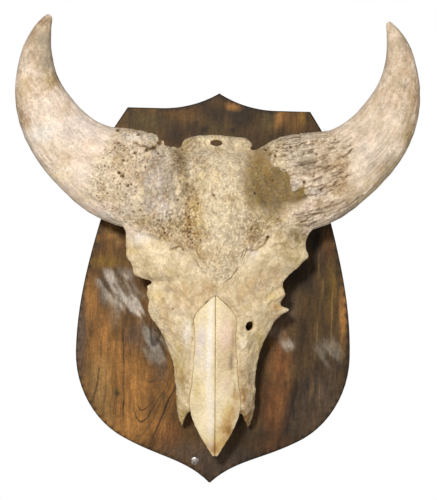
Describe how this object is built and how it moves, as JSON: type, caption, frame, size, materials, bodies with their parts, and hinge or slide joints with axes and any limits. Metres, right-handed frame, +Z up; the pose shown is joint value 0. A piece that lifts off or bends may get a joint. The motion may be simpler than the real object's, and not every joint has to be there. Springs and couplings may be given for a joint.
{
  "type": "mounted water buffalo skull",
  "caption": "Upper skull of a water buffalo with bare horn cores, sawn flat at the back and fixed to a wooden shield plaque that hangs on a wall.",
  "frame": {"origin": "middle of the plaque's flat back, on the wall", "axes": "+Z up along the shield's middle line, +Y into the wall, +X to the viewer's right, which is the animal's left"},
  "size_m": [0.5192, 0.1213, 0.6011],
  "materials": {
    "bone": "dry, porous, weathered bone with yellow and olive stains",
    "nasal_bone": "smooth cream bone",
    "horn_core": "grooved and pitted bone, pinkish beige",
    "plaque_wood": "dark, worn, oiled hardwood",
    "fixing_steel": "dull old steel"
  },
  "bodies": {
    "root": {"cranium": "bone", "occipital_crest": "bone", "lacrimal_left": "bone", "lacrimal_right": "bone", "maxilla_left": "bone", "maxilla_right": "bone", "nasal_left": "nasal_bone", "nasal_right": "nasal_bone", "horn_core_left": "horn_core", "horn_core_right": "horn_core", "plaque": "plaque_wood", "plaque_stud": "fixing_steel", "skull_screw_1": "fixing_steel", "skull_screw_2": "fixing_steel", "skull_screw_3": "fixing_steel", "hanger": "fixing_steel", "hanger_nail_1": "fixing_steel", "hanger_nail_2": "fixing_steel"}
  },
  "joints": []
}
